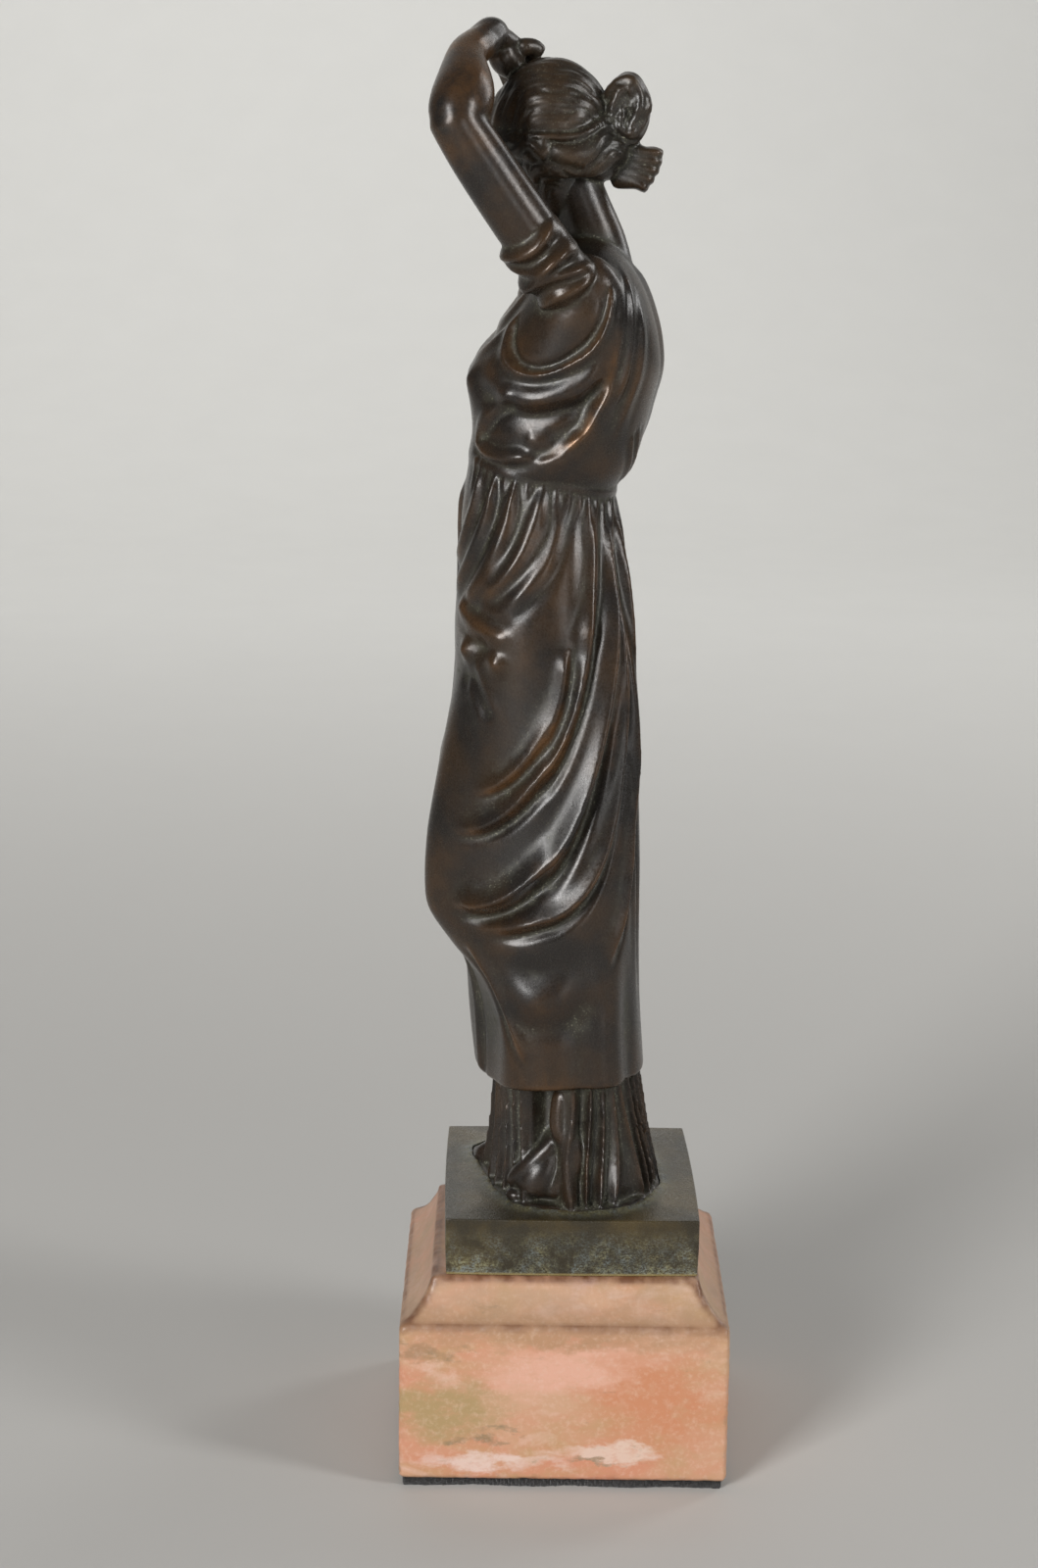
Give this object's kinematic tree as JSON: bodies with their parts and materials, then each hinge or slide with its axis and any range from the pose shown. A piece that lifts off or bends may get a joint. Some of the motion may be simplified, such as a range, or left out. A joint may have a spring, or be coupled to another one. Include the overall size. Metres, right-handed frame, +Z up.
{
  "type": "bronze figure statuette on a stone base",
  "caption": "Standing woman in a long classical dress, one arm raised to her knotted hair, on a bronze plinth and a square marble base with hollowed shoulders.",
  "frame": {"origin": "middle of the underside, on the felt", "axes": "+Z up along the figure; the woman faces -Y and her raised left arm is towards +X"},
  "size_m": [0.0624, 0.0624, 0.2711],
  "materials": {
    "figure_bronze": "cast bronze with a dark chocolate patina, worn warm brown on the ridges",
    "plinth_bronze": "cast bronze with an olive brown patina and pale verdigris on the front",
    "marble": "honed pink marble with ochre, white and grey clouds",
    "felt": "black felt"
  },
  "bodies": {
    "root": {"bronze_figure": "figure_bronze", "bronze_plinth": "plinth_bronze", "marble_base": "marble", "felt_pad": "felt"}
  },
  "joints": []
}
